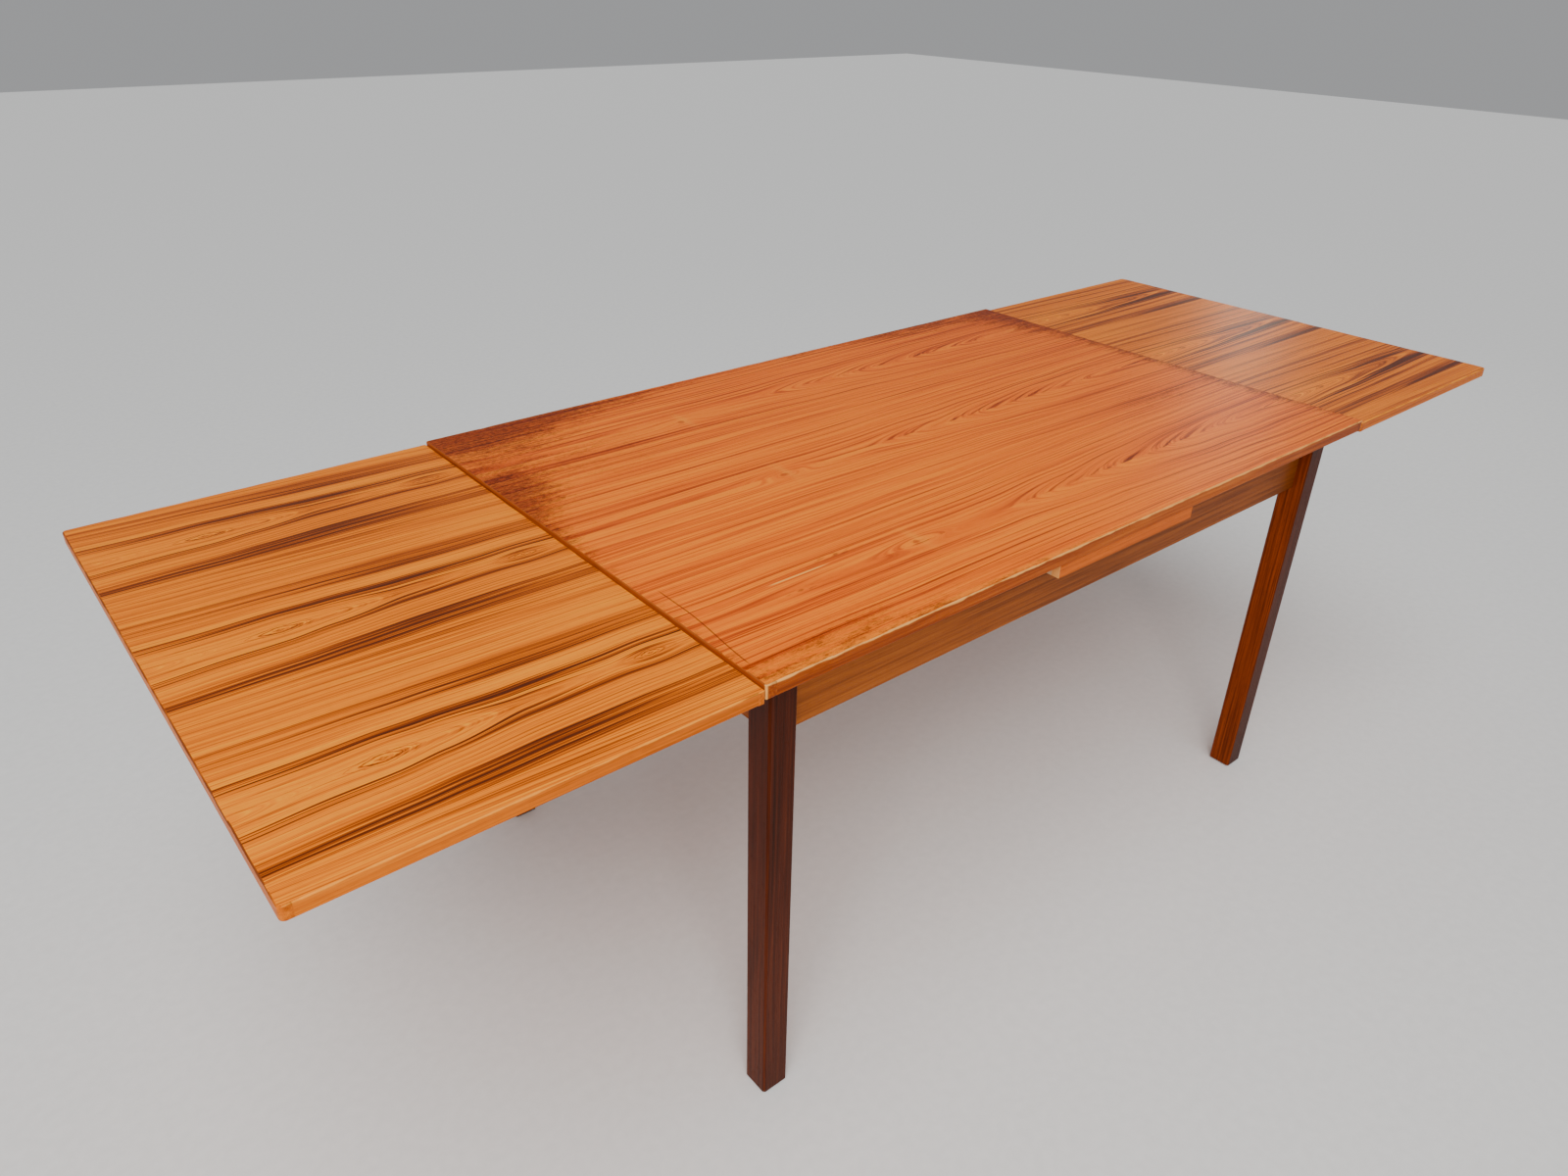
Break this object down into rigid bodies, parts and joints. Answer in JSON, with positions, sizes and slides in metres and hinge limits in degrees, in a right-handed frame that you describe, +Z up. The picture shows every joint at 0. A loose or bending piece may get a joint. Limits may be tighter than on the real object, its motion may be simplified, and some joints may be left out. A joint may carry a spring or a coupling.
{
  "type": "extendable dining table",
  "caption": "Rectangular draw-leaf dining table in teak, with a loose main top and a sliding leaf drawn out on tapered bearers at each end, on square legs.",
  "frame": {"origin": "on the floor, under the middle of the main top", "axes": "+X along the table, from the left leaf to the right leaf; +Y to the back; +Z up"},
  "size_m": [2.303, 0.85, 0.73],
  "materials": {
    "teak_top": "oiled teak veneer, straight grain along the table, worn and darker towards the ends",
    "teak_top_lipping": "oiled solid teak, worn pale on the upper arris",
    "teak_leaf": "oiled teak veneer, golden, slip-matched with dark stripes",
    "teak_leaf_lipping": "oiled solid teak",
    "teak_apron": "oiled solid teak, mid brown",
    "teak_leg": "oiled solid teak, dark red-brown",
    "beech": "bare beech, waxed where it slides",
    "steel": "zinc plated, dull",
    "felt": "wool felt",
    "glide_plastic": "moulded nylon, satin"
  },
  "bodies": {
    "frame": {"centre_board": "beech", "centre_board_lip_front": "teak_apron", "centre_board_lip_back": "teak_apron", "centre_board_screws": "steel", "felt_pads": "felt", "apron_front": "teak_apron", "apron_back": "teak_apron", "end_rail_left": "teak_apron", "end_rail_right": "teak_apron", "centre_rail": "beech", "corner_block_front_left": "beech", "corner_block_front_right": "beech", "corner_block_back_left": "beech", "corner_block_back_right": "beech", "corner_block_screws": "steel", "hanger_bolts": "steel", "bolt_washers": "steel", "bolt_nuts": "steel", "leg_front_left": "teak_leg", "leg_front_right": "teak_leg", "leg_back_left": "teak_leg", "leg_back_right": "teak_leg", "glide_front_left": "glide_plastic", "glide_front_right": "glide_plastic", "glide_back_left": "glide_plastic", "glide_back_right": "glide_plastic"},
    "top": {"top_panel": "teak_top", "top_lipping_left": "teak_top_lipping", "top_lipping_right": "teak_top_lipping", "top_lipping_front": "teak_top_lipping", "top_lipping_back": "teak_top_lipping", "guide_peg_left": "beech", "guide_peg_right": "beech"},
    "left_leaf": {"left_leaf_panel": "teak_leaf", "left_leaf_lipping_outer": "teak_leaf_lipping", "left_leaf_lipping_inner": "teak_leaf_lipping", "left_leaf_lipping_front": "teak_leaf_lipping", "left_leaf_lipping_back": "teak_leaf_lipping", "left_bearer_front": "beech", "left_bearer_back": "beech", "left_bearer_stops": "beech", "left_bearer_screws": "steel"},
    "right_leaf": {"right_leaf_panel": "teak_leaf", "right_leaf_lipping_outer": "teak_leaf_lipping", "right_leaf_lipping_inner": "teak_leaf_lipping", "right_leaf_lipping_front": "teak_leaf_lipping", "right_leaf_lipping_back": "teak_leaf_lipping", "right_bearer_front": "beech", "right_bearer_back": "beech", "right_bearer_stops": "beech", "right_bearer_screws": "steel"}
  },
  "joints": [
    {"name": "top_lift", "type": "slide", "parent": "frame", "child": "top", "axis": [0, 0, 1], "range_m": [0, 0.06]},
    {"name": "left_leaf_draw", "type": "slide", "parent": "frame", "child": "left_leaf", "axis": [-0.9995, 0, 0.0302], "range_m": [0, 0.008]},
    {"name": "right_leaf_draw", "type": "slide", "parent": "frame", "child": "right_leaf", "axis": [0.9995, 0, 0.0302], "range_m": [0, 0.008]}
  ]
}
